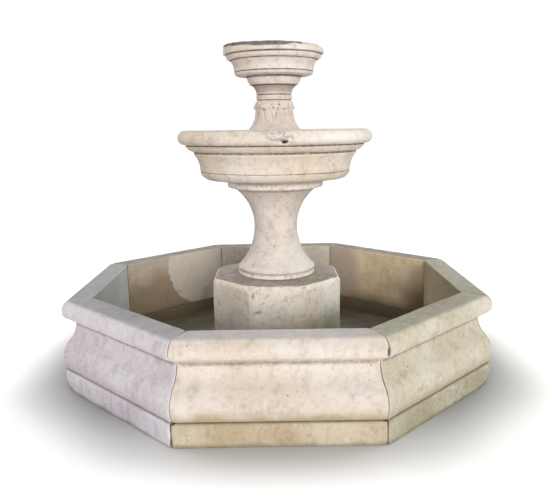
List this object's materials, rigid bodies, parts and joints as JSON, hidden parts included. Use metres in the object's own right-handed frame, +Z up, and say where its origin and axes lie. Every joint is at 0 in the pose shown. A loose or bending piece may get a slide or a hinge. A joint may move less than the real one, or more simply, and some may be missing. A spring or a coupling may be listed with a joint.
{
  "type": "tiered water fountain",
  "caption": "Carved limestone tiered fountain: eight-sided moulded pool, pedestal block, waisted column, wide middle bowl, carved stem and small top bowl.",
  "frame": {"origin": "centre of the footprint, on the ground", "axes": "+Z up; the front side of the octagonal pool faces -Y and the access grille and drain are at +Y"},
  "size_m": [2.456, 2.456, 1.928],
  "materials": {
    "limestone": "weathered, sawn and rubbed",
    "plinth_limestone": "weathered, stained near the ground",
    "pedestal_limestone": "weathered, pitted",
    "bowl_limestone": "weathered, turned and rubbed",
    "floor_stone": "dark, water stained",
    "mortar": "sandy lime mortar",
    "sealant": "matte",
    "stainless_steel": "brushed",
    "laminated_steel": "oiled laminations",
    "bronze": "weathered bronze with green in the recesses",
    "brass": "dull brass",
    "copper": "dull copper",
    "polished_chrome": "polished",
    "red_vinyl": "satin",
    "black_rubber": "matte",
    "cable_sheath": "satin",
    "black_plastic": "matte moulded",
    "grey_plastic": "satin pipe",
    "rotor_resin": "moulded resin",
    "ceramic_bush": "ground"
  },
  "bodies": {
    "fountain": {"access_grille": "bronze", "basin_floor": "floor_stone", "bed_mortar": "mortar", "bubbler_nozzle": "bronze", "cable_conduit": "grey_plastic", "cable_gland": "black_plastic", "carved_stem": "bowl_limestone", "conduit_plug": "black_rubber", "corner_mortar": "mortar", "curb_back": "limestone", "curb_back_left": "limestone", "curb_back_right": "limestone", "curb_front": "limestone", "curb_front_left": "limestone", "curb_front_right": "limestone", "curb_left": "limestone", "curb_right": "limestone", "delivery_hose": "black_rubber", "dowels": "stainless_steel", "drain_fitting": "bronze", "drain_gasket": "black_rubber", "floor_sealant": "sealant", "grille_screws": "bronze", "hose_clamps": "stainless_steel", "intake_strainer": "black_plastic", "lower_column": "pedestal_limestone", "middle_bowl": "bowl_limestone", "pedestal_block": "pedestal_limestone", "plinth_back": "plinth_limestone", "plinth_back_left": "plinth_limestone", "plinth_back_right": "plinth_limestone", "plinth_cramps": "stainless_steel", "plinth_front": "plinth_limestone", "plinth_front_left": "plinth_limestone", "plinth_front_right": "plinth_limestone", "plinth_left": "plinth_limestone", "plinth_right": "plinth_limestone", "power_cable": "cable_sheath", "pump_cradle": "black_plastic", "pump_feet": "black_rubber", "pump_motor_housing": "black_plastic", "pump_rear_cap": "black_plastic", "pump_stator": "laminated_steel", "pump_volute": "black_plastic", "riser_nut": "brass", "riser_pipe": "copper", "rotor_bushings": "ceramic_bush", "top_bowl": "bowl_limestone", "top_bowl_flange": "bronze", "top_bowl_gasket": "black_rubber", "valve_body": "brass", "valve_gland_nut": "brass", "volute_screws": "stainless_steel", "volute_seal": "black_rubber"},
    "pump_rotor_unit": {"pump_rotor": "rotor_resin"},
    "valve_handle": {"valve_lever": "stainless_steel", "valve_ball": "polished_chrome", "lever_grip": "red_vinyl"},
    "overflow_pipe": {"overflow_standpipe": "grey_plastic", "overflow_strainer": "bronze"}
  },
  "joints": [
    {"name": "pump_spin", "type": "hinge", "parent": "fountain", "child": "pump_rotor_unit", "pos_m": [0, 0, 0.11], "axis": [0, 1, 0], "continuous": true},
    {"name": "valve_turn", "type": "hinge", "parent": "fountain", "child": "valve_handle", "pos_m": [0, 0.04, 0.3], "axis": [0, 1, 0], "range_deg": [0, 90]},
    {"name": "overflow_lift", "type": "slide", "parent": "fountain", "child": "overflow_pipe", "axis": [0, 0, 1], "range_m": [0, 0.3]}
  ]
}
